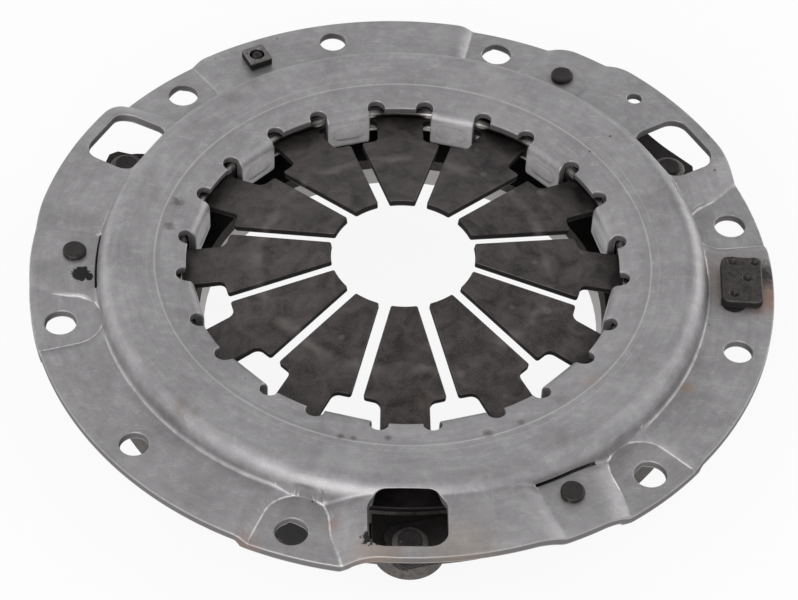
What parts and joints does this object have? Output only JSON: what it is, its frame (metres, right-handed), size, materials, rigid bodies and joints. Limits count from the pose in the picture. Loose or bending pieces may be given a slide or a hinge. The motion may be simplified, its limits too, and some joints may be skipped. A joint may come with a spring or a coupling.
{
  "type": "clutch pressure plate",
  "caption": "Diaphragm spring clutch cover: domed pressed cover with wavy rim, conical finger spring on wire rings, and a cast pressure ring hung on flat drive straps.",
  "frame": {"origin": "on the crankshaft axis, in the plane of the undersides of the six bolt pads, which lie on the flywheel", "axes": "+Z along the axis, away from the flywheel, towards the release bearing; one lug window lies towards -Y"},
  "size_m": [0.214, 0.214, 0.0302],
  "materials": {
    "cover_steel": "satin pressed sheet, oiled, lightly scuffed",
    "spring_steel_dark": "dark brown-black heat treated, satin",
    "bright_wire": "bright drawn wire",
    "cast_iron": "rough cast, with machined faces",
    "strap_steel": "blackened spring steel",
    "black_weight": "black oxide, satin",
    "black_rivet": "black phosphated steel"
  },
  "bodies": {
    "cover_assembly": {"balance_rivet_large": "black_rivet", "balance_rivet_small": "black_rivet", "balance_weight_large": "black_weight", "balance_weight_small": "black_weight", "cover": "cover_steel", "cover_rivet_1": "black_rivet", "cover_rivet_2": "black_rivet", "cover_rivet_3": "black_rivet", "diaphragm_spring": "spring_steel_dark", "fulcrum_ring_lower": "bright_wire", "fulcrum_ring_upper": "bright_wire", "strap_1_leaf_1": "strap_steel", "strap_1_leaf_2": "strap_steel", "strap_1_leaf_3": "strap_steel", "strap_2_leaf_1": "strap_steel", "strap_2_leaf_2": "strap_steel", "strap_2_leaf_3": "strap_steel", "strap_3_leaf_1": "strap_steel", "strap_3_leaf_2": "strap_steel", "strap_3_leaf_3": "strap_steel"},
    "pressure_plate": {"pressure_plate": "cast_iron", "lug_rivet_1": "black_rivet", "lug_rivet_2": "black_rivet", "lug_rivet_3": "black_rivet", "lug_washer_1": "black_rivet", "lug_washer_2": "black_rivet", "lug_washer_3": "black_rivet"}
  },
  "joints": [
    {"name": "plate_lift", "type": "slide", "parent": "cover_assembly", "child": "pressure_plate", "axis": [0, 0, 1], "range_m": [0, 0.005], "stiffness_N_per_m": 20000, "springref_m": -0.003, "deforming": ["diaphragm_spring", "strap_1_leaf_1", "strap_1_leaf_2", "strap_1_leaf_3", "strap_2_leaf_1", "strap_2_leaf_2", "strap_2_leaf_3", "strap_3_leaf_1", "strap_3_leaf_2", "strap_3_leaf_3"]}
  ]
}
